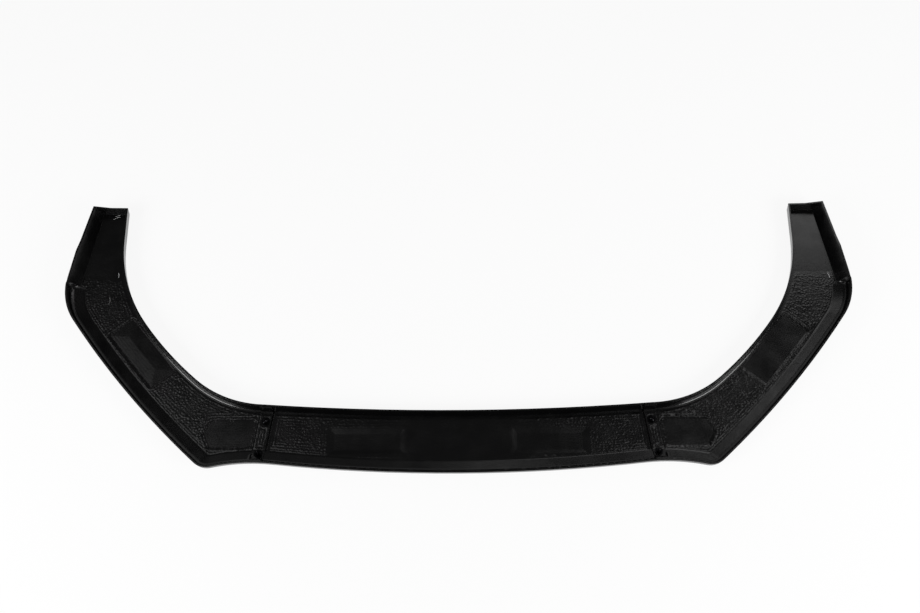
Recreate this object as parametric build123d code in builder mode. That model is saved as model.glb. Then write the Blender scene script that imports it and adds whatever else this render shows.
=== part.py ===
from build123d import *
import os
from math import atan, cos, radians, sin, sqrt, tan

# Front splitter lip of three moulded sections, lapped and screwed together.
# It lies hollow side up, with its front edge towards -Y and its two arms towards +Y.
# Plan sizes are measured from the middle of the front edge. The origin itself is on the
# ground under the middle of the bounding box. Millimetres and degrees.

# Moulded shell
wall = 3.5
rim_front_height = 24.0
rim_rear_height = 40.0
slope_run = 29.5
slope_rise = 12.0
rim_lean = 6.0
fin_run = 19.5
fin_height = 37.0
inner_lean = 8.0
inner_rim_height = 25.0
end_lean = 5.0
end_outer_height = 32.0
end_rise_start = 40.0
top_margin = 5.0

# Outer rim line, drawn at its own height from the middle of the nose to the end of the arm
rim_line_height = 32.0
nose_half_width = 385.0
nose_sag = 21.0
hollow_radius = 400.0
hollow_turn = 18.0
corner_radius = 40.0
corner_turn = 53.2
diagonal_length = 440.0
diagonal_turn = 11.8
flank_radius = 150.0
flank_turn = 44.5
fin_length = 183.5

# Step from the slope to the fin: its start and end at the floor and at the knee, as shares of the flank
step_at_floor = (0.8, 0.9)
step_at_knee = (0.82, 0.88)

# Inner rim line, its bends placed from the front corner, the widest point and the arm's end
centre_depth = 136.5
inner_nose_sag = 15.0
inner_nose_from_corner = 120.0
inner_bend_from_corner = (30.0, 194.0)
inner_hip_from_flank = (188.5, 117.0)
inner_arm_length = 87.0
inner_arm_splay = 3.0
end_width = 82.0
end_slant = 1.5

# Lapped joints between the sections
seam_from_nose_end = 35.2
seam_depth = 88.0
seam_splay = 7.0
seam_gap = 0.3
lap = 21.0
lap_clearance = 0.2
tongue_wall = 3.0
tongue_root = 4.0
tongue_rim_drop = 1.0

# Fasteners of the joints
screw_diameter = 6.0
screw_head_diameter = 12.0
screw_head_angle = 90.0
screw_head_clearance = 0.1
screw_hole_clearance = 0.6
screw_protrusion = 2.65
screw_tip = 0.8
key_width = 4.0
key_depth = 1.8
washer_diameter = 18.0
washer_hole_clearance = 0.4
washer_thickness = 1.6
washer_seat = 0.05
nut_width = 10.0
nut_hole_clearance = 0.2
nut_height = 5.0
nut_turned_width = 9.5
nut_turned_angle = 30.0
rear_screw_from_seam_middle = 32.0
front_screw_run = 19.5

# Shallow bonding pads sunk into the floor
pad_depth = 1.5
pad_edge = 4.0
pad_corner = 9.0
centre_pad_start = 108.0
centre_pad_length = 167.0
centre_pad_front = 43.0
centre_pad_width = 63.0
seam_pad_gap = 4.0
seam_pad_length = 104.0
seam_pad_front = 60.0
seam_pad_width = 65.0
seam_pad_point = 16.0
arm_pad_length = 172.0
arm_pad_width = 70.0
arm_pad_inset = 45.0
arm_pad_place = 0.66


def inward(edge, position):
    """Direction into the lip, square to an edge of the rim line."""
    heading = edge % position
    return Vector(-heading.Y, heading.X)


# The right half of the rim line, from the nose round to the middle of the inner edge
with BuildLine():
    nose = ThreePointArc((-nose_half_width, nose_sag), (0, 0), (nose_half_width, nose_sag))
    hollow = JernArc(nose @ 1, nose % 1, hollow_radius, -hollow_turn)
    corner = JernArc(hollow @ 1, hollow % 1, corner_radius, corner_turn)
    diagonal = JernArc(corner @ 1, corner % 1, diagonal_length / radians(diagonal_turn), diagonal_turn)
    flank = JernArc(diagonal @ 1, diagonal % 1, flank_radius, flank_turn)
    fin = Line(flank @ 1, flank @ 1 + (flank % 1) * fin_length)
    end = Line(fin @ 1, fin @ 1 - Vector(end_width, end_slant))
    inner_arm = PolarLine(end @ 1, inner_arm_length, -90 - inner_arm_splay)
    inner_hip_end = flank @ 1 - Vector(*inner_hip_from_flank)
    inner_bend_end = corner @ 0.5 + Vector(*inner_bend_from_corner)
    inner_nose_half = (corner @ 0.5).X - inner_nose_from_corner
    inner_nose_end = Vector(inner_nose_half, centre_depth + inner_nose_sag)
    inner_hip = TangentArc(inner_arm @ 1, inner_hip_end, tangent=inner_arm % 1)
    inner_diagonal = TangentArc(inner_hip @ 1, inner_bend_end, tangent=inner_hip % 1)
    inner_bend = TangentArc(inner_diagonal @ 1, inner_nose_end, tangent=inner_diagonal % 1)

top_height = rim_rear_height + top_margin
slope_length = sqrt(slope_run**2 + slope_rise**2)
fin_length_per_height = sqrt(1 + (fin_run / fin_height) ** 2)


def knee_height(depth):
    """Height of the bend between slope and rim, at a depth below the outer surface."""
    rise = slope_length / slope_rise - 1 / cos(radians(rim_lean))
    return slope_rise + depth * rise / (slope_run / slope_rise - tan(radians(rim_lean)))


def leaning(height, depth, lean):
    """Inset of a plain leaning wall from the rim line."""
    return (rim_line_height - height) * tan(radians(lean)) + depth / cos(radians(lean))


def front_inset(height, depth):
    """Inset of the front edge: a slope up from the floor, then the upright rim."""
    knee = leaning(slope_rise, 0, rim_lean)
    slope = knee + (depth * slope_length - (height - slope_rise) * slope_run) / slope_rise
    return max(slope, leaning(height, depth, rim_lean))


def fin_inset(height, depth):
    """Inset of the fin, which leans outwards straight from the floor."""
    return fin_run * (1 - height / fin_height) + depth * fin_length_per_height


def inner_inset(height, depth):
    """Inset of the wall along the inner edge."""
    return leaning(height, depth, inner_lean)


def end_inset(height, depth):
    """Inset of the wall across the end of the arm."""
    return leaning(height, depth, end_lean)


# Edges that turn by less than this run on smoothly
smooth_turn = sin(radians(3))


def mitre(before, after, inset_before, inset_after):
    """Meeting point of two edges that are each moved inwards."""
    one = inward(before, 1)
    two = inward(after, 0)
    turn = one.X * two.Y - one.Y * two.X
    if abs(turn) < smooth_turn:
        return after @ 0 + two * inset_after
    across = (inset_before * two.Y - inset_after * one.Y) / turn
    along = (inset_after * one.X - inset_before * two.X) / turn
    return after @ 0 + Vector(across, along)


def mirrored(point):
    """The same point on the left half."""
    return Vector(-point.X, point.Y)


# The outer rim lies in one plane that rises towards the ends of the arms
front_edge = front_inset(rim_front_height, 0)
rear_edge = mitre(fin, end, fin_inset(end_outer_height, 0), end_inset(end_outer_height, 0)).Y
front_y = -(front_edge + rear_edge) / 2
rim_plane = Plane(
    origin=(0, front_y + front_edge, rim_front_height),
    x_dir=(1, 0, 0),
    z_dir=(0, rim_front_height - rim_rear_height, rear_edge - front_edge),
)


def plan(height):
    """Level plane at a height, with its origin over the middle of the front edge."""
    return Plane(origin=(0, front_y, height))


def step_place(height, depth):
    """Start and end of the step at one height, moved with depth so that it keeps its wall."""
    share = min(1, (height - depth) / (knee_height(depth) - depth))
    start, finish = [floor + (knee - floor) * share for floor, knee in zip(step_at_floor, step_at_knee)]
    inset = fin_inset(height, depth) - front_inset(height, depth)
    turn = atan(inset / ((finish - start) * flank.length))
    setback = depth * tan(turn / 2) / flank.length
    return start - setback, finish - setback


def sides(height, depth):
    """Each edge of the right half with its inset at its start and at its end, at one height."""
    step_start, step_end = step_place(height, depth)
    return [
        (hollow, front_inset, front_inset),
        (corner, front_inset, front_inset),
        (diagonal, front_inset, front_inset),
        (flank.trim(0, step_start), front_inset, front_inset),
        (flank.trim(step_start, step_end), front_inset, fin_inset),
        (flank.trim(step_end, 1), fin_inset, fin_inset),
        (fin, fin_inset, fin_inset),
        (end, end_inset, end_inset),
        (inner_arm, inner_inset, inner_inset),
        (inner_hip, inner_inset, inner_inset),
        (inner_diagonal, inner_inset, inner_inset),
        (inner_bend, inner_inset, inner_inset),
    ]


def draw_outline(height, depth):
    """Draws the closed outline of the lip at one height, at a depth below its outer surface."""
    edges = sides(height, depth)
    corners = [hollow @ 0 + inward(hollow, 0) * front_inset(height, depth)]
    for (before, _, inset_before), (after, inset_after, _) in zip(edges, edges[1:]):
        corners.append(mitre(before, after, inset_before(height, depth), inset_after(height, depth)))
    corners.append(inner_bend @ 1 + inward(inner_bend, 1) * inner_inset(height, depth))
    for (edge, inset, last_inset), start, finish in zip(edges, corners, corners[1:]):
        if edge.geom_type == GeomType.LINE or inset is not last_inset:
            Line(start, finish)
            Line(mirrored(start), mirrored(finish))
        else:
            middle = edge @ 0.5 + inward(edge, 0.5) * inset(height, depth)
            ThreePointArc(start, middle, finish)
            ThreePointArc(mirrored(start), mirrored(middle), mirrored(finish))
    nose_middle = Vector(0, front_inset(height, depth))
    inner_middle = Vector(0, centre_depth - inner_inset(height, depth))
    ThreePointArc(mirrored(corners[0]), nose_middle, corners[0])
    ThreePointArc(corners[-1], inner_middle, mirrored(corners[-1]))


def lip_solid(depth):
    """The whole lip as a solid block, at a depth below its outer surface."""
    with BuildPart() as block:
        for height in (depth, knee_height(depth), top_height):
            with BuildSketch(plan(height)):
                with BuildLine():
                    draw_outline(height, depth)
                make_face()
        loft(ruled=True)
    return block.part


def open_middle(inset):
    """Corners of the open middle of the lip, grown over the trays and drawn out behind the arms."""
    edges = (inner_arm, inner_hip, inner_diagonal, inner_bend)
    right = [edge @ 0 + inward(edge, 0) * inset for edge in edges]
    right[0] -= (inner_arm % 0) * end_width
    right.append(inner_bend @ 1 + inward(inner_bend, 1) * inset)
    return right + [mirrored(point) for point in reversed(right)]


# The inner walls end at their own height, and the end walls rise from it to the fins' ends
end_run_per_height = (end_width - end_rise_start) / (end_outer_height - inner_rim_height)
top_inset = end_rise_start + (top_height - inner_rim_height) * end_run_per_height

with BuildPart() as rim_trimmer:
    for height, inset in ((inner_rim_height, end_rise_start), (top_height, top_inset)):
        with BuildSketch(plan(height)):
            with BuildLine():
                Polyline(*open_middle(inset), close=True)
            make_face()
    loft(ruled=True)


def layer(outer, inner, rim_drop, *cuts):
    """The moulded skin between two blocks, under the rim and between cutting planes."""
    with BuildPart() as skin:
        add(outer)
        add(inner, mode=Mode.SUBTRACT)
        split(bisect_by=rim_plane.offset(-rim_drop), keep=Keep.BOTTOM)
        with Locations((0, 0, -rim_drop)):
            add(rim_trimmer.part, mode=Mode.SUBTRACT)
        for plane, keep in cuts:
            split(bisect_by=plane, keep=keep)
    return skin.part


# Joint places: the seam plane faces outwards and the lap runs inwards from it
seam_out = Vector(cos(radians(seam_splay)), sin(radians(seam_splay)))
seam_back = Vector(-seam_out.Y, seam_out.X)
seam_middle = Vector(nose_half_width + seam_from_nose_end, seam_depth)
seam = Plane(origin=plan(0).from_local_coords(seam_middle), z_dir=seam_out)
left_seam = Plane(origin=mirrored(seam.origin), z_dir=mirrored(seam_out))
lap_middle = seam_middle - seam_out * (lap / 2)

# The rear screw stands on the floor and the front one square to the slope
slope_angle = atan(slope_rise / slope_run)
rear_screw = lap_middle + seam_back * rear_screw_from_seam_middle
lap_line = Axis(lap_middle, seam_back)
front_screw_inset = leaning(slope_rise, 0, rim_lean) + front_screw_run
front_screw_line = JernArc(
    hollow @ 0 + inward(hollow, 0) * front_screw_inset,
    hollow % 0,
    hollow_radius + front_screw_inset,
    -hollow_turn,
)
front_screw = front_screw_line.find_intersection_points(lap_line)[0]
lap_inward = inward(front_screw_line, front_screw_line.param_at_point(front_screw))
front_screw_height = slope_rise - front_screw_run * tan(slope_angle)
front_screw_axis = lap_inward * sin(slope_angle) + Vector(0, 0, cos(slope_angle))
screw_planes = [
    Plane(origin=plan(0).from_local_coords(rear_screw), z_dir=(0, 0, 1)),
    Plane(origin=plan(front_screw_height).from_local_coords(front_screw), z_dir=front_screw_axis),
]
head_planes = [Plane(origin=plane.origin, z_dir=-plane.z_dir) for plane in screw_planes]
left_head_planes = [plane.location.mirror(Plane.YZ) for plane in head_planes]
tongue_top = wall + lap_clearance + tongue_wall
washer_base = tongue_top + washer_seat
nut_base = washer_base + washer_thickness
screw_hole = screw_diameter + screw_hole_clearance
screw_length = nut_base + nut_height + screw_protrusion
head_height = (screw_head_diameter - screw_diameter) / 2 / tan(radians(screw_head_angle / 2))


def pad_sinker(outline):
    """Cutter for one shallow pad with sloping edges."""
    with BuildPart() as sinker:
        with BuildSketch(plan(wall)) as brim:
            with BuildLine():
                Polyline(*outline, close=True)
            make_face()
            fillet(brim.vertices(), pad_corner)
        with BuildSketch(plan(wall - pad_depth)) as floor:
            with BuildLine():
                Polyline(*outline, close=True)
            make_face()
            offset(amount=-pad_edge, kind=Kind.INTERSECTION)
            fillet(floor.vertices(), pad_corner - pad_edge)
        loft(ruled=True)
    return sinker.part


centre_pad = [
    (centre_pad_start, centre_pad_front),
    (centre_pad_start + centre_pad_length, centre_pad_front),
    (centre_pad_start + centre_pad_length, centre_pad_front + centre_pad_width),
    (centre_pad_start, centre_pad_front + centre_pad_width),
]

seam_pad_line = seam_middle + seam_out * (tongue_root + seam_pad_gap)


def beside_seam(y):
    """Point on the inner end of the seam pad."""
    return seam_pad_line + seam_back * ((y - seam_pad_line.Y) / seam_back.Y)


seam_pad_rear = seam_pad_front + seam_pad_width
seam_pad_out = seam_middle.X + seam_pad_length
seam_pad = [
    beside_seam(seam_pad_front),
    Vector(seam_pad_out, seam_pad_front),
    Vector(seam_pad_out + seam_pad_point, seam_pad_front + seam_pad_width / 2),
    Vector(seam_pad_out, seam_pad_rear),
    beside_seam(seam_pad_rear),
]

arm_pad_along = diagonal % arm_pad_place
arm_pad_across = inward(diagonal, arm_pad_place)
arm_pad_middle = diagonal @ arm_pad_place + arm_pad_across * (front_inset(0, 0) + arm_pad_inset)
arm_pad = [
    arm_pad_middle + arm_pad_along * (u * arm_pad_length / 2) + arm_pad_across * (v * arm_pad_width / 2)
    for u, v in ((-1, -1), (1, -1), (1, 1), (-1, 1))
]

# Blocks at the depths of the shell's and the tongue's faces
outside = lip_solid(0)
mid_wall = lip_solid(wall / 2)
inside = lip_solid(wall)
tongue_under = lip_solid(wall + lap_clearance)
tongue_over = lip_solid(tongue_top)

with BuildPart() as centre_section:
    add(
        layer(
            outside,
            inside,
            0,
            (seam.offset(-seam_gap), Keep.BOTTOM),
            (left_seam.offset(-seam_gap), Keep.BOTTOM),
        )
    )
    for outline in (centre_pad, [(-x, y) for x, y in centre_pad]):
        add(pad_sinker(outline), mode=Mode.SUBTRACT)
    with Locations(*head_planes, *left_head_planes):
        CounterSinkHole(
            screw_hole / 2,
            screw_head_diameter / 2 + screw_head_clearance,
            depth=wall + lap_clearance,
            counter_sink_angle=screw_head_angle,
        )
centre_section.part.label = "centre_section"

with BuildPart() as right_section:
    add(layer(outside, inside, 0, (seam, Keep.TOP)))
    add(
        layer(
            mid_wall,
            tongue_over,
            tongue_rim_drop,
            (seam, Keep.TOP),
            (seam.offset(tongue_root), Keep.BOTTOM),
        )
    )
    add(
        layer(
            tongue_under,
            tongue_over,
            tongue_rim_drop,
            (seam.offset(-lap), Keep.TOP),
            (seam.offset(tongue_root), Keep.BOTTOM),
        )
    )
    for outline in (seam_pad, arm_pad):
        add(pad_sinker(outline), mode=Mode.SUBTRACT)
    with Locations(*screw_planes):
        Hole(screw_hole / 2)
right_section.part.label = "right_section"

with BuildPart() as left_section:
    mirror(right_section.part, about=Plane.YZ)
left_section.part.label = "left_section"

# One of each fastener, standing on its own lower face
standing = (Align.CENTER, Align.CENTER, Align.MIN)

with BuildPart() as screw:
    Cone(screw_head_diameter / 2, screw_diameter / 2, head_height, align=standing)
    Cylinder(screw_diameter / 2, screw_length, align=standing)
    chamfer(screw.faces().sort_by(Axis.Z)[-1].edges(), screw_tip)
    with BuildSketch():
        RegularPolygon(key_width / 2, 6, major_radius=False)
    extrude(amount=key_depth, mode=Mode.SUBTRACT)

with BuildPart() as washer:
    with BuildSketch():
        Circle(washer_diameter / 2)
        Circle((screw_diameter + washer_hole_clearance) / 2, mode=Mode.SUBTRACT)
    extrude(amount=washer_thickness)

nut_corner = nut_width / 2 / cos(radians(30))
turned_depth = nut_corner - nut_turned_width / 2

with BuildPart() as nut:
    with BuildSketch():
        RegularPolygon(nut_width / 2, 6, major_radius=False)
        Circle((screw_diameter + nut_hole_clearance) / 2, mode=Mode.SUBTRACT)
    extrude(amount=nut_height)
    with BuildPart(mode=Mode.INTERSECT) as turned:
        Cylinder(nut_corner, nut_height, align=standing)
        top = turned.faces().sort_by(Axis.Z)[-1]
        chamfer(top.edges(), turned_depth, turned_depth * tan(radians(nut_turned_angle)), reference=top)

with BuildPart() as right_joint_screws:
    with Locations(*screw_planes):
        add(screw.part)
right_joint_screws.part.label = "right_joint_screws"

with BuildPart() as right_joint_washers:
    with Locations(*[plane.offset(washer_base) for plane in screw_planes]):
        add(washer.part)
right_joint_washers.part.label = "right_joint_washers"

with BuildPart() as right_joint_nuts:
    with Locations(*[plane.offset(nut_base) for plane in screw_planes]):
        add(nut.part)
right_joint_nuts.part.label = "right_joint_nuts"

with BuildPart() as left_joint_screws:
    mirror(right_joint_screws.part, about=Plane.YZ)
left_joint_screws.part.label = "left_joint_screws"

with BuildPart() as left_joint_washers:
    mirror(right_joint_washers.part, about=Plane.YZ)
left_joint_washers.part.label = "left_joint_washers"

with BuildPart() as left_joint_nuts:
    mirror(right_joint_nuts.part, about=Plane.YZ)
left_joint_nuts.part.label = "left_joint_nuts"

os.makedirs("parts", exist_ok=True)
pieces = [
    centre_section,
    right_section,
    left_section,
    right_joint_screws,
    right_joint_washers,
    right_joint_nuts,
    left_joint_screws,
    left_joint_washers,
    left_joint_nuts,
]
for piece in pieces:
    export_step(piece.part, f"parts/{piece.part.label}.step")
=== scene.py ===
"""Looks of the front splitter lip: black mouldings with tool marks, black zinc fasteners, the studio."""

import math

import bpy
import numpy as np
from mathutils import Matrix, Vector, noise
from mathutils.bvhtree import BVHTree
from mathutils.kdtree import KDTree


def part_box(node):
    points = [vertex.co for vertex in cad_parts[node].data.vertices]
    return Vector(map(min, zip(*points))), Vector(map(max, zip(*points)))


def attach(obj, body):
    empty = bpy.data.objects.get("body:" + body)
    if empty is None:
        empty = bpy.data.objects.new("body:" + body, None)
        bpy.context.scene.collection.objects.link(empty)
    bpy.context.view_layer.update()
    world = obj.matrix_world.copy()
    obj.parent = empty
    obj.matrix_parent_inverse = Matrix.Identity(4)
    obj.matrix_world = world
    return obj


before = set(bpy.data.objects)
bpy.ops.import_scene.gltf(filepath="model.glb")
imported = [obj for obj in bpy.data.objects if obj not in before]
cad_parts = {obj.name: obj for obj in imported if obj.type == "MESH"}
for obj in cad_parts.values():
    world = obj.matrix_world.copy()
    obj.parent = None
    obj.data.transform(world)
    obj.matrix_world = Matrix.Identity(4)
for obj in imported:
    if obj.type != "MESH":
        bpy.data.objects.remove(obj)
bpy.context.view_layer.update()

# Camera, in metres and degrees, with its focal length in pixels of the 920 pixel wide frame
IMAGE_WIDTH = 920
FOCAL_PIXELS = 1000
CAMERA_TARGET = Vector((0.0045, 0.0693, 0.0))
CAMERA_DISTANCE = 2.2308
CAMERA_ELEVATION = 63.97
CAMERA_AZIMUTH = 0.655
CAMERA_ROLL = 0.974
CAMERA_REACH = 100
SENSOR_WIDTH = 36.0

# Floor, and the world's brightness by the height of a direction above the horizon
FLOOR_SIZE = 24.0
FLOOR_COLOUR = (0.86, 0.86, 0.86, 1)
FLOOR_WHITE_SHARE = 0.9
WORLD_STOPS = [
    (0.0, 0.9),
    (0.036, 0.9),
    (0.05, 0.45),
    (0.30, 0.45),
    (0.38, 0.13),
    (0.52, 0.13),
    (0.58, 0.02),
    (0.65, 0.02),
    (0.68, 0.10),
    (0.75, 0.10),
    (0.79, 0.05),
    (0.88, 0.09),
    (1.0, 0.09),
]

# Upright boxes behind the lip: name, x, z, width, height, watts
BACK_Y = 1.60
BACK_BOXES = [
    ("back_right_box", 1.45, 1.90, 1.50, 1.50, 10.5),
    ("back_middle_box", 0.40, 1.60, 0.50, 0.40, 1.0),
    ("back_strip", 0.11, 0.95, 0.12, 0.60, 0.20),
]

# Boxes overhead: name, x, y, width, depth, watts
OVERHEAD_Z = 2.50
OVERHEAD_BOXES = [
    ("left_strip", -1.00, 0.05, 0.60, 0.50, 1.2),
    ("right_strip", 1.00, 0.05, 0.60, 0.50, 1.2),
    ("left_overhead_box", -1.72, 0.32, 0.60, 0.50, 1.7),
    ("right_overhead_box", 1.72, 0.32, 0.60, 0.50, 2.0),
    ("left_rear_box", -2.02, 0.75, 0.50, 0.50, 1.3),
]

# Lamps in front at both sides: name, place, aim
LAMP_WIDTH = 1.8
LAMP_HEIGHT = 1.2
LAMP_WATTS = 65
LAMPS = [
    ("left_lamp", (-2.30, -1.30, 1.10), (-0.3, 0.0, 0.0)),
    ("right_lamp", (2.30, -1.30, 1.10), (0.3, 0.0, 0.0)),
]

# Colours
ABS_BLACK = (0.0012, 0.0012, 0.0013, 1)
# Colours of the pale ticks on the tray floors
TICK_DARK = (0.08, 0.08, 0.081, 1)
TICK_PALE = (0.55, 0.55, 0.55, 1)
ZINC_DARK = (0.010, 0.010, 0.011, 1)
ZINC_PALE = (0.026, 0.026, 0.028, 1)

# Rounding of the mouldings' other edges, in metres
EDGE_RADIUS = 0.0006

# What tells the parts of a tray apart: heights in metres, and tilts as the upward part of a face's normal
LOOK_DOWN_FROM = 0.1
FLOOR_TOP = 0.0035
PAD_TOP = 0.002
SUNKEN_MARGIN = 0.0001
RAISED_MARGIN = 0.001
WALL_REACH = 0.012
WALL_TILT = 0.3
SLOPE_TILT = 0.9
SLOPE_TILT_END = 0.95
FLAT_TILT = 0.99

# Skin of the trays, in metres and degrees: its grid, its edges and the fillets
GRID = 0.0012
SKIN_TOP = 0.018
STEP = 0.0014
EDGE_SINK = 0.00006
PLAIN_HEIGHT = 0.00004
SHARP_ANGLE = 13
FOOT_RADIUS = 0.013
FOOT_TURN = 22
KNEE_RADIUS = 0.014
KNEE_TURN = 62
KNEE_LIFT = 0.007
WASHERS_BETWEEN_Y = -0.235
WASHER_RADIUS = 0.0095

# Fillet along the inner wall of a side section, in metres
WALL_RUN = 0.005
WALL_LIMIT = 0.82
WALL_FULL_END = -0.05
WALL_END = 0.10
WALL_SPARE = 0.02
WALL_START_RUN = 0.05
WALL_LEAST_SHARE = 0.05
WALL_PITCH = 0.0025
WALL_LIFT = 0.00006
WALL_ACROSS = 9
SAME_HEIGHT = 0.00005

# Tool marks on the tray floors, in metres
MARK_BASE = 0.00008
MARK_PITCH = 0.006
MARK_HEIGHT = 0.00045
MARK_SWAY = 0.0012
MARK_FADE_START = 0.001
MARK_FADE = 0.003
EDGE_MARK_RUN = 0.016
PAD_MARK_RUN = 0.010
PAD_MARK_START = 0.43
TONGUE_MARK_HEIGHT = 0.0007
CELL_SIZE = 0.0056
CELL_HEIGHT = 0.00040
CALM_START = 0.06
CALM_RUN = 0.1
SMOOTH_START = 0.150
SMOOTH_END = 0.138
SEAM_RIDGE_HEIGHT = 0.0013
SEAM_RIDGE_RUN = 0.005
FAN_RUN = 0.03

# Pads in the floors, in metres, and the left arm pad's crown as a slope
PAD_BASE = 0.00005
PAD_PITCH = 0.006
PAD_HEIGHT = 0.00004
SOFT_PAD_END = 0.40
SOFT_PAD_RUN = 0.015
ARM_PAD_CROWN = 0.024
ARM_START = -0.14

# Pale ticks on the tray floors: points along each one and its width, in metres
TICK_HEIGHT = 0.0006
TICK_STATIONS = 14
TICK_ACROSS = 5
LEFT_PALE_TICKS = [
    ([(-0.8040, 0.2985), (-0.7955, 0.3035), (-0.7870, 0.3060)], 0.0018),
    ([(-0.7990, 0.3065), (-0.7925, 0.3095), (-0.7860, 0.3105)], 0.0015),
    ([(-0.7705, 0.1580), (-0.7680, 0.1500), (-0.7700, 0.1430)], 0.0025),
    ([(-0.7829, 0.0972), (-0.7790, 0.0871), (-0.7805, 0.0771)], 0.0010),
]
RIGHT_PALE_TICKS = [
    ([(0.8350, 0.1490), (0.8365, 0.1390), (0.8395, 0.1300)], 0.0028),
]


def make_camera():
    """Camera at the photograph's angle, looking down on the hollow side from the front."""
    elevation = math.radians(CAMERA_ELEVATION)
    azimuth = math.radians(CAMERA_AZIMUTH)
    roll = math.radians(CAMERA_ROLL)
    ahead = math.cos(elevation)
    forward = Vector((-math.sin(azimuth) * ahead, math.cos(azimuth) * ahead, -math.sin(elevation)))
    level = Vector((math.cos(azimuth), math.sin(azimuth), 0))
    down = forward.cross(level)
    right = level * math.cos(roll) + down * math.sin(roll)
    down = down * math.cos(roll) - level * math.sin(roll)
    data = bpy.data.cameras.new("camera")
    data.sensor_fit = "HORIZONTAL"
    data.sensor_width = SENSOR_WIDTH
    data.lens = SENSOR_WIDTH * FOCAL_PIXELS / IMAGE_WIDTH
    data.clip_end = CAMERA_REACH
    camera = bpy.data.objects.new("camera", data)
    turn = Matrix((right, -down, -forward)).transposed().to_4x4()
    camera.matrix_world = Matrix.Translation(CAMERA_TARGET - forward * CAMERA_DISTANCE) @ turn
    bpy.context.scene.collection.objects.link(camera)
    bpy.context.scene.camera = camera


def background_ray(tree):
    """Socket that is 1 for rays that show the background: camera, glossy and transmission rays."""
    path = tree.nodes.new("ShaderNodeLightPath")
    total = path.outputs["Is Camera Ray"]
    for name in ("Is Glossy Ray", "Is Transmission Ray"):
        either = tree.nodes.new("ShaderNodeMath")
        either.operation = "MAXIMUM"
        tree.links.new(total, either.inputs[0])
        tree.links.new(path.outputs[name], either.inputs[1])
        total = either.outputs[0]
    return total


def make_floor():
    """Pale floor that shows white and keeps a soft shadow."""
    mesh = bpy.data.meshes.new("floor")
    half = FLOOR_SIZE / 2
    corners = [(-half, -half, 0), (half, -half, 0), (half, half, 0), (-half, half, 0)]
    mesh.from_pydata(corners, [], [(0, 1, 2, 3)])
    floor = bpy.data.objects.new("floor", mesh)
    bpy.context.scene.collection.objects.link(floor)
    material = bpy.data.materials.new("floor")
    material.use_nodes = True
    tree = material.node_tree
    tree.nodes.clear()
    output = tree.nodes.new("ShaderNodeOutputMaterial")
    diffuse = tree.nodes.new("ShaderNodeBsdfDiffuse")
    diffuse.inputs["Color"].default_value = FLOOR_COLOUR
    white = tree.nodes.new("ShaderNodeEmission")
    share = tree.nodes.new("ShaderNodeMath")
    share.operation = "MULTIPLY"
    share.inputs[1].default_value = FLOOR_WHITE_SHARE
    mix = tree.nodes.new("ShaderNodeMixShader")
    tree.links.new(background_ray(tree), share.inputs[0])
    tree.links.new(share.outputs[0], mix.inputs["Fac"])
    tree.links.new(diffuse.outputs[0], mix.inputs[1])
    tree.links.new(white.outputs[0], mix.inputs[2])
    tree.links.new(mix.outputs[0], output.inputs["Surface"])
    mesh.materials.append(material)


def make_world():
    """Dim studio with a pale backdrop at the horizon."""
    world = bpy.data.worlds.new("studio")
    bpy.context.scene.world = world
    world.use_nodes = True
    tree = world.node_tree
    tree.nodes.clear()
    output = tree.nodes.new("ShaderNodeOutputWorld")
    coordinates = tree.nodes.new("ShaderNodeTexCoord")
    split = tree.nodes.new("ShaderNodeSeparateXYZ")
    ramp = tree.nodes.new("ShaderNodeValToRGB")
    while len(ramp.color_ramp.elements) < len(WORLD_STOPS):
        ramp.color_ramp.elements.new(1.0)
    for element, (place, value) in zip(ramp.color_ramp.elements, WORLD_STOPS):
        element.position = place
        element.color = (value, value, value, 1)
    background = tree.nodes.new("ShaderNodeBackground")
    tree.links.new(coordinates.outputs["Generated"], split.inputs[0])
    tree.links.new(split.outputs["Z"], ramp.inputs["Fac"])
    tree.links.new(ramp.outputs["Color"], background.inputs["Color"])
    tree.links.new(background.outputs[0], output.inputs["Surface"])


def soft_box(name, place, aim, width, height, watts):
    """Rectangular soft light that looks at a point."""
    data = bpy.data.lights.new(name, "AREA")
    data.shape = "RECTANGLE"
    data.size = width
    data.size_y = height
    data.energy = watts
    lamp = bpy.data.objects.new(name, data)
    lamp.location = place
    lamp.rotation_euler = (Vector(aim) - Vector(place)).to_track_quat("-Z", "Y").to_euler()
    bpy.context.scene.collection.objects.link(lamp)


def make_lights():
    """Upright boxes behind, overhead boxes beside what the flat floors mirror, and side lamps."""
    for name, x, z, width, height, watts in BACK_BOXES:
        soft_box(name, (x, BACK_Y, z), (x, 0.0, z), width, height, watts)
    for name, x, y, width, depth, watts in OVERHEAD_BOXES:
        soft_box(name, (x, y, OVERHEAD_Z), (x, y, 0.0), width, depth, watts)
    for name, place, aim in LAMPS:
        soft_box(name, place, aim, LAMP_WIDTH, LAMP_HEIGHT, LAMP_WATTS)


def new_material(name):
    """Material with a principled shader, as (material, node tree, shader)."""
    material = bpy.data.materials.new(name)
    material.use_nodes = True
    tree = material.node_tree
    return material, tree, tree.nodes["Principled BSDF"]


def cloud(tree, scale, detail):
    """Socket with a noise over the object."""
    coordinates = tree.nodes.new("ShaderNodeTexCoord")
    texture = tree.nodes.new("ShaderNodeTexNoise")
    texture.inputs["Scale"].default_value = scale
    texture.inputs["Detail"].default_value = detail
    tree.links.new(coordinates.outputs["Object"], texture.inputs["Vector"])
    return texture.outputs["Fac"]


def spread(tree, value, low, high, start=0.0, end=1.0):
    """Socket that goes from low to high while a value goes from start to end."""
    node = tree.nodes.new("ShaderNodeMapRange")
    node.inputs["From Min"].default_value = start
    node.inputs["From Max"].default_value = end
    node.inputs["To Min"].default_value = low
    node.inputs["To Max"].default_value = high
    tree.links.new(value, node.inputs["Value"])
    return node.outputs["Result"]


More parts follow.
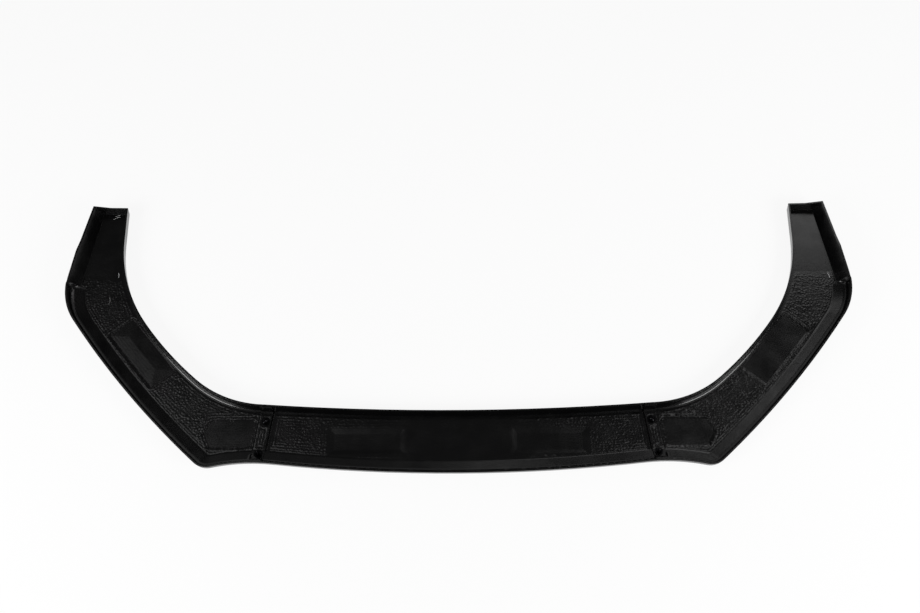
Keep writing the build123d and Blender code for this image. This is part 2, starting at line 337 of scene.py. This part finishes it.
def tones(tree, value, dark, pale, start, end):
    """Socket that goes from a dark to a pale colour while a value goes from start to end."""
    node = tree.nodes.new("ShaderNodeValToRGB")
    for element, place, colour in zip(node.color_ramp.elements, (start, end), (dark, pale)):
        element.position = place
        element.color = colour
    tree.links.new(value, node.inputs["Fac"])
    return node.outputs["Color"]


def moulded_plastic(name, rounded):
    """Gloss black ABS with a faint moulding ripple and varied gloss. Its edges may shade as if rounded."""
    material, tree, shader = new_material(name)
    shader.inputs["Base Color"].default_value = ABS_BLACK
    shader.inputs["IOR"].default_value = 1.5
    gloss = spread(tree, cloud(tree, scale=28, detail=5), low=0.17, high=0.27, start=0.3, end=0.7)
    ripple = tree.nodes.new("ShaderNodeBump")
    ripple.inputs["Strength"].default_value = 0.12
    ripple.inputs["Distance"].default_value = 0.0006
    tree.links.new(cloud(tree, scale=130, detail=3), ripple.inputs["Height"])
    tree.links.new(gloss, shader.inputs["Roughness"])
    tree.links.new(ripple.outputs["Normal"], shader.inputs["Normal"])
    if rounded:
        rounding = tree.nodes.new("ShaderNodeBevel")
        rounding.samples = 8
        rounding.inputs["Radius"].default_value = EDGE_RADIUS
        tree.links.new(rounding.outputs["Normal"], ripple.inputs["Normal"])
    return material


def pale_tick_plastic():
    """Pale ABS for the pale ticks on the floor, paler in streaks."""
    material, tree, shader = new_material("pale_tick_abs")
    streaks = cloud(tree, scale=900, detail=3)
    tone = tones(tree, streaks, TICK_DARK, TICK_PALE, start=0.35, end=0.65)
    tree.links.new(tone, shader.inputs["Base Color"])
    tree.links.new(spread(tree, streaks, low=0.35, high=0.6), shader.inputs["Roughness"])
    return material


def black_zinc():
    """Black zinc plated steel, dull in patches."""
    material, tree, shader = new_material("black_zinc")
    shader.inputs["Metallic"].default_value = 1
    patches = cloud(tree, scale=220, detail=4)
    tone = tones(tree, patches, ZINC_DARK, ZINC_PALE, start=0.35, end=0.75)
    tree.links.new(tone, shader.inputs["Base Color"])
    tree.links.new(spread(tree, patches, low=0.10, high=0.26), shader.inputs["Roughness"])
    return material


def dress(node, material):
    """Gives a CAD node its one material."""
    node.data.materials.clear()
    node.data.materials.append(material)


def tree_of(nodes):
    """Search tree over the faces of some nodes."""
    corners, faces = [], []
    for node in nodes:
        first = len(corners)
        corners += [vertex.co for vertex in node.data.vertices]
        faces += [[first + index for index in face.vertices] for face in node.data.polygons]
    return BVHTree.FromPolygons(corners, faces)


def tray_grid(node, others):
    """Grid over a section's open tray.

    Gives the x and y lines, the heights (nan where the grid has none), and which points are flat and which
    are covered by another section.
    """
    tree = tree_of([node])
    cover = tree_of(others)
    low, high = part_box(node.name)
    xs = np.arange(math.floor(low[0] / GRID), math.ceil(high[0] / GRID) + 1) * GRID
    ys = np.arange(math.floor(low[1] / GRID), math.ceil(high[1] / GRID) + 1) * GRID
    base = np.full((len(xs), len(ys)), np.nan)
    flat = np.zeros(base.shape, bool)
    covered = np.zeros(base.shape, bool)
    down = Vector((0, 0, -1))
    for i, x in enumerate(xs):
        for j, y in enumerate(ys):
            start = Vector((x, y, LOOK_DOWN_FROM))
            place, normal, _, _ = tree.ray_cast(start, down)
            if place is None or normal.z < SLOPE_TILT or place.z > SKIN_TOP:
                continue
            above = cover.ray_cast(start, down)[0]
            if above is not None and above.z > place.z:
                covered[i, j] = True
                continue
            base[i, j] = place.z
            flat[i, j] = normal.z > FLAT_TILT
    return xs, ys, base, flat, covered


def faces_of(node, least, most, reach):
    """Search tree over a section's faces with an upward tilt between two values that reach a height."""
    mesh = node.data
    chosen = []
    for face in mesh.polygons:
        top = max(mesh.vertices[index].co.z for index in face.vertices)
        if least < face.normal.z < most and top > reach:
            chosen.append(tuple(face.vertices))
    return BVHTree.FromPolygons([vertex.co for vertex in mesh.vertices], chosen)


def nearest(tree, place):
    """Nearest point of a search tree and its distance."""
    foot, _, _, gap = tree.find_nearest(place)
    return foot, gap


def bend(gap, radius, turn):
    """Rise of a fillet over one of its two faces, at a distance from the corner between them."""
    run = radius * math.tan(math.radians(turn) / 2)
    if gap >= run:
        return 0.0
    return radius - math.sqrt(radius**2 - (run - gap) ** 2)


def held(value, least=0.0):
    """Value kept between a least one and 1."""
    return min(1.0, max(least, value))


def distances(xs, ys, wanted, marks):
    """Distance from each wanted grid point to the nearest marked one, elsewhere large."""
    result = np.full(wanted.shape, 1.0)
    found = np.argwhere(marks)
    if not len(found):
        return result
    tree = KDTree(len(found))
    for k, (i, j) in enumerate(found):
        tree.insert((xs[i], ys[j], 0), k)
    tree.balance()
    for i, j in np.argwhere(wanted):
        result[i, j] = tree.find((xs[i], ys[j], 0))[2]
    return result


def neighbours(padded):
    """The four neighbours of each point of a grid that is padded by one point."""
    return padded[:-2, 1:-1], padded[2:, 1:-1], padded[1:-1, :-2], padded[1:-1, 2:]


def rim_of(mask):
    """Points of a mask that have a neighbour outside it."""
    return mask & ~np.logical_and.reduce(neighbours(np.pad(mask, 1)))


def brinks_of(heights):
    """Points of a grid beside a hole or a step of it."""
    level = np.ones(heights.shape, bool)
    for other in neighbours(np.pad(heights, 1, constant_values=np.nan)):
        level &= np.abs(other - heights) < STEP
    return ~np.isnan(heights) & ~level


def joined(quads):
    """Faces that share an edge with another one."""
    edges = np.sort(np.stack([quads, np.roll(quads, -1, 1)], -1).reshape(-1, 2), 1)
    _, place, count = np.unique(edges, axis=0, return_inverse=True, return_counts=True)
    return quads[(count[place.reshape(-1)] > 1).reshape(-1, 4).any(1)]


def saw(value):
    """Wave that rises from 0 to 1 in each period and drops back."""
    return value - math.floor(value)


def roof(value):
    """Wave that rises from 0 to 1 and falls again in each period."""
    return 1 - abs(2 * saw(value) - 1)


def mark_height(kind, x, y, near, to_pad, in_pad, to_seam):
    """Height of the tool marks over the plain floor at one point."""
    place = Vector((x / CELL_SIZE, y / CELL_SIZE, 0.0))
    sway = noise.noise(place * 0.7) * MARK_SWAY
    if kind == "pad":
        crown = ARM_PAD_CROWN * in_pad if y > ARM_START and x < 0 else 0.0
        return PAD_BASE + crown + PAD_HEIGHT * saw((in_pad + sway * 0.3) / PAD_PITCH)
    dashes = 0.65 + 0.6 * noise.noise(place * 0.35)
    if kind == "tongue":
        return MARK_BASE + TONGUE_MARK_HEIGHT * roof((near + sway) / MARK_PITCH) * dashes
    cells = noise.voronoi(place)[0]
    crumple = min(1.0, (cells[1] - cells[0]) * 1.6)
    if kind == "sunken":
        return MARK_BASE + 1.5 * CELL_HEIGHT * crumple
    fan = math.exp(-((to_seam / FAN_RUN) ** 2))
    beside_pad = math.exp(-to_pad / PAD_MARK_RUN) if abs(x) > PAD_MARK_START else 0.0
    beside = math.exp(-near / EDGE_MARK_RUN) + beside_pad
    strokes = roof((min(near, to_pad) + sway) / MARK_PITCH)
    contour = strokes * dashes * max(fan, min(1.0, 0.2 + beside))
    calm = held((abs(x) - CALM_START) / CALM_RUN, least=0.3)
    lines = MARK_HEIGHT * contour * (1 + 0.9 * fan)
    marks = MARK_BASE + (lines + CELL_HEIGHT * crumple * (1 - 0.7 * fan)) * calm
    rear = held((y - SMOOTH_END) / (SMOOTH_START - SMOOTH_END))
    return marks * (1 - rear) + PLAIN_HEIGHT * rear


def tray_skin(name, node, others, fasteners, material):
    """Inside of a tray as it was moulded: fillets at slope and rim, tool marks of the mould on the floor."""
    xs, ys, base, flat, covered = tray_grid(node, others)
    for place in fasteners:
        gx, gy = np.meshgrid(xs - place[0], ys - place[1], indexing="ij")
        base[gx**2 + gy**2 < WASHER_RADIUS**2] = np.nan

    # Parts of the tray
    valid = ~np.isnan(base)
    sunken = valid & (base < FLOOR_TOP - SUNKEN_MARGIN)
    soft = sunken & (np.abs(xs) < SOFT_PAD_END)[:, None]
    pad = sunken & (flat | soft)
    slope = valid & ~flat & ~sunken
    tongue = valid & flat & (base > FLOOR_TOP + RAISED_MARGIN)
    floor = valid & flat & ~sunken & ~tongue
    kinds = np.full(base.shape, "floor", dtype=object)
    for kind, mask in (("tongue", tongue), ("sunken", sunken), ("pad", pad)):
        kinds[mask] = kind

    # Distances along the tray, with the centre pads' sides run out softly
    to_pad = distances(xs, ys, floor, rim_of(sunken))
    in_pad = distances(xs, ys, pad, rim_of(pad))
    to_seam = distances(xs, ys, floor, covered)
    share = np.clip(in_pad / SOFT_PAD_RUN, 0, 1)
    side = FLOOR_TOP - (FLOOR_TOP - PAD_TOP) * share**2 * (3 - 2 * share)
    base = np.where(soft, np.maximum(base, side), base)
    rims = brinks_of(base)
    edge = distances(xs, ys, valid, rims)
    walls = faces_of(node, -WALL_TILT, WALL_TILT, WALL_REACH)
    slopes = faces_of(node, SLOPE_TILT, SLOPE_TILT_END, FLOOR_TOP + RAISED_MARGIN)
    flats = faces_of(node, FLAT_TILT, math.inf, RAISED_MARGIN)

    points, index = [], np.full(base.shape, -1)
    for i, j in np.argwhere(valid):
        x, y, z = xs[i], ys[j], base[i, j]
        wall, wall_gap = nearest(walls, Vector((x, y, z)))
        if slope[i, j]:
            foot_gap = nearest(flats, Vector((x, y, z)))[1]
            rise = PLAIN_HEIGHT + bend(wall_gap, KNEE_RADIUS, KNEE_TURN)
            lift = KNEE_LIFT
        else:
            foot_gap = nearest(slopes, Vector((x, y, z)))[1]
            lift = PLAIN_HEIGHT
            near = min(edge[i, j], foot_gap)
            rise = mark_height(kinds[i, j], x, y, near, to_pad[i, j], in_pad[i, j], to_seam[i, j])
            clear = min(foot_gap - MARK_FADE_START, wall_gap - WALL_RUN) / MARK_FADE
            rise = PLAIN_HEIGHT + (rise - PLAIN_HEIGHT) * held(clear)
            run = to_seam[i, j] / SEAM_RIDGE_RUN
            if run < 2:
                ridge = SEAM_RIDGE_HEIGHT * min(run, 1.0)
                rise = ridge + (rise - ridge) * max(0.0, run - 1)
        rise += bend(foot_gap, FOOT_RADIUS, FOOT_TURN)
        if wall_gap < 2 * GRID:
            if rims[i, j]:
                x, y, rise = wall.x, wall.y, max(rise, lift)
            z += rise
        else:
            sunk = min(1.0, edge[i, j] / (2 * GRID))
            z += rise * sunk - EDGE_SINK * (1 - sunk)
        index[i, j] = len(points)
        points.append((x, y, z))

    # Faces between four neighbours of one level
    near_side, far_side = slice(None, -1), slice(1, None)
    corners = [(near_side, near_side), (far_side, near_side), (far_side, far_side), (near_side, far_side)]
    quads = np.stack([index[corner] for corner in corners], -1).reshape(-1, 4)
    tops = np.stack([base[corner] for corner in corners], -1).reshape(-1, 4)
    whole = (quads >= 0).all(1)
    quads, tops = quads[whole], tops[whole]
    faces = joined(quads[tops.max(1) - tops.min(1) < STEP])
    add_piece(name, points, faces.tolist(), material)


def strips(rows, across, first=0):
    """Faces between rows of points, with the number of points in a row."""
    faces = []
    for row in range(rows - 1):
        for k in range(across - 1):
            corner = first + row * across + k
            faces.append((corner, corner + 1, corner + across + 1, corner + across))
    return faces


def wall_fillet(name, node, material):
    """Fillet along the foot of a section's inner wall, fading out towards the arm's end."""
    mesh = node.data
    feet = {}
    for face in mesh.polygons:
        corners = [mesh.vertices[index].co for index in face.vertices]
        top = max(corner.z for corner in corners)
        low = [corner for corner in corners if abs(corner.z - FLOOR_TOP) < SAME_HEIGHT]
        low = [corner for corner in low if abs(corner.x) < WALL_LIMIT]
        if abs(face.normal.z) < WALL_TILT and top > WALL_REACH and len(low) == 2:
            for corner in low:
                key = (round(corner.x, 5), round(corner.y, 5))
                feet[key] = feet.get(key, Vector()) + face.normal
    line = sorted(feet, key=lambda key: abs(key[0]) + key[1])
    line = [key for key in line if key[1] < WALL_END + WALL_SPARE]
    places = [Vector((x, y, FLOOR_TOP)) for x, y in line]
    normals = [feet[key].normalized() for key in line]
    rows = []
    for first, second, start, finish in zip(places, places[1:], normals, normals[1:]):
        pieces = max(1, round((second - first).length / WALL_PITCH))
        for k in range(pieces):
            rows.append((first.lerp(second, k / pieces), start.lerp(finish, k / pieces)))
    points = []
    for place, normal in rows:
        inward = Vector((normal.x, normal.y, 0)).normalized()
        lean = Vector((-inward.x * normal.z, -inward.y * normal.z, math.hypot(normal.x, normal.y)))
        upward = lean.normalized()
        seam_share = (place - rows[0][0]).length / WALL_START_RUN
        end_share = (WALL_END - place.y) / (WALL_END - WALL_FULL_END)
        run = WALL_RUN * held(min(seam_share, end_share), least=WALL_LEAST_SHARE)
        for k in range(WALL_ACROSS):
            t = k / (WALL_ACROSS - 1)
            out = inward * (run * (1 - t) ** 2 + WALL_LIFT)
            points.append(place + out + upward * (run * t**2 + WALL_LIFT))
    add_piece(name, points, strips(len(rows), WALL_ACROSS), material)


def pale_ticks(name, marks, material):
    """Shallow raised pale ticks on the floor, thickest in their middle."""
    points, faces = [], []
    for (start, middle, finish), width in marks:
        start, middle, finish = Vector(start), Vector(middle), Vector(finish)
        control = middle * 2 - (start + finish) / 2
        faces += strips(TICK_STATIONS, TICK_ACROSS, len(points))
        for s in range(TICK_STATIONS):
            t = s / (TICK_STATIONS - 1)
            place = start * (1 - t) ** 2 + control * (2 * t * (1 - t)) + finish * t**2
            along = (control - start) * (1 - t) + (finish - control) * t
            side = Vector((-along.y, along.x)).normalized()
            swell = math.sin(math.pi * (0.04 + 0.92 * t)) ** 0.6
            for a in range(TICK_ACROSS):
                share = 2 * a / (TICK_ACROSS - 1) - 1
                spot = place + side * (share * width / 2 * swell)
                rise = TICK_HEIGHT * (1 - share**2) * swell
                points.append((spot.x, spot.y, FLOOR_TOP + rise))
    add_piece(name, points, faces, material)


def add_piece(name, points, faces, material):
    """New piece of the mouldings from its mesh, facing up."""
    mesh = bpy.data.meshes.new(name)
    mesh.from_pydata(points, [], faces)
    mesh.validate()
    if sum(face.normal.z for face in mesh.polygons) < 0:
        mesh.flip_normals()
    mesh.shade_smooth()
    mesh.set_sharp_from_angle(angle=math.radians(SHARP_ANGLE))
    mesh.materials.append(material)
    piece = bpy.data.objects.new(name, mesh)
    bpy.context.scene.collection.objects.link(piece)
    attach(piece, "root")


bpy.context.scene.view_settings.view_transform = "Standard"
make_camera()
make_floor()
make_world()
make_lights()

plastic = moulded_plastic("gloss_black_abs", True)
marked = moulded_plastic("milled_black_abs", False)
ticked_abs = pale_tick_plastic()
zinc = black_zinc()
for name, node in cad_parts.items():
    dress(node, plastic if name.endswith("_section") else zinc)

washers = []
for side in ("left", "right"):
    corners = [vertex.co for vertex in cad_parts[f"{side}_joint_washers"].data.vertices]
    for part in (-1, 1):
        own = [corner for corner in corners if (corner.y - WASHERS_BETWEEN_Y) * part > 0]
        washers.append(sum(own, Vector()) / len(own))

sections = {name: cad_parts[f"{name}_section"] for name in ("centre", "left", "right")}
for name, node in sections.items():
    others = [other for other in sections.values() if other is not node]
    tray_skin(f"{name}_tray_skin", node, others, washers, marked)
    if name != "centre":
        wall_fillet(f"{name}_wall_fillet", node, marked)
# Pale raised ticks on the tray floors, in the pale ABS
pale_ticks("left_pale_ticks", LEFT_PALE_TICKS, ticked_abs)
pale_ticks("right_pale_ticks", RIGHT_PALE_TICKS, ticked_abs)
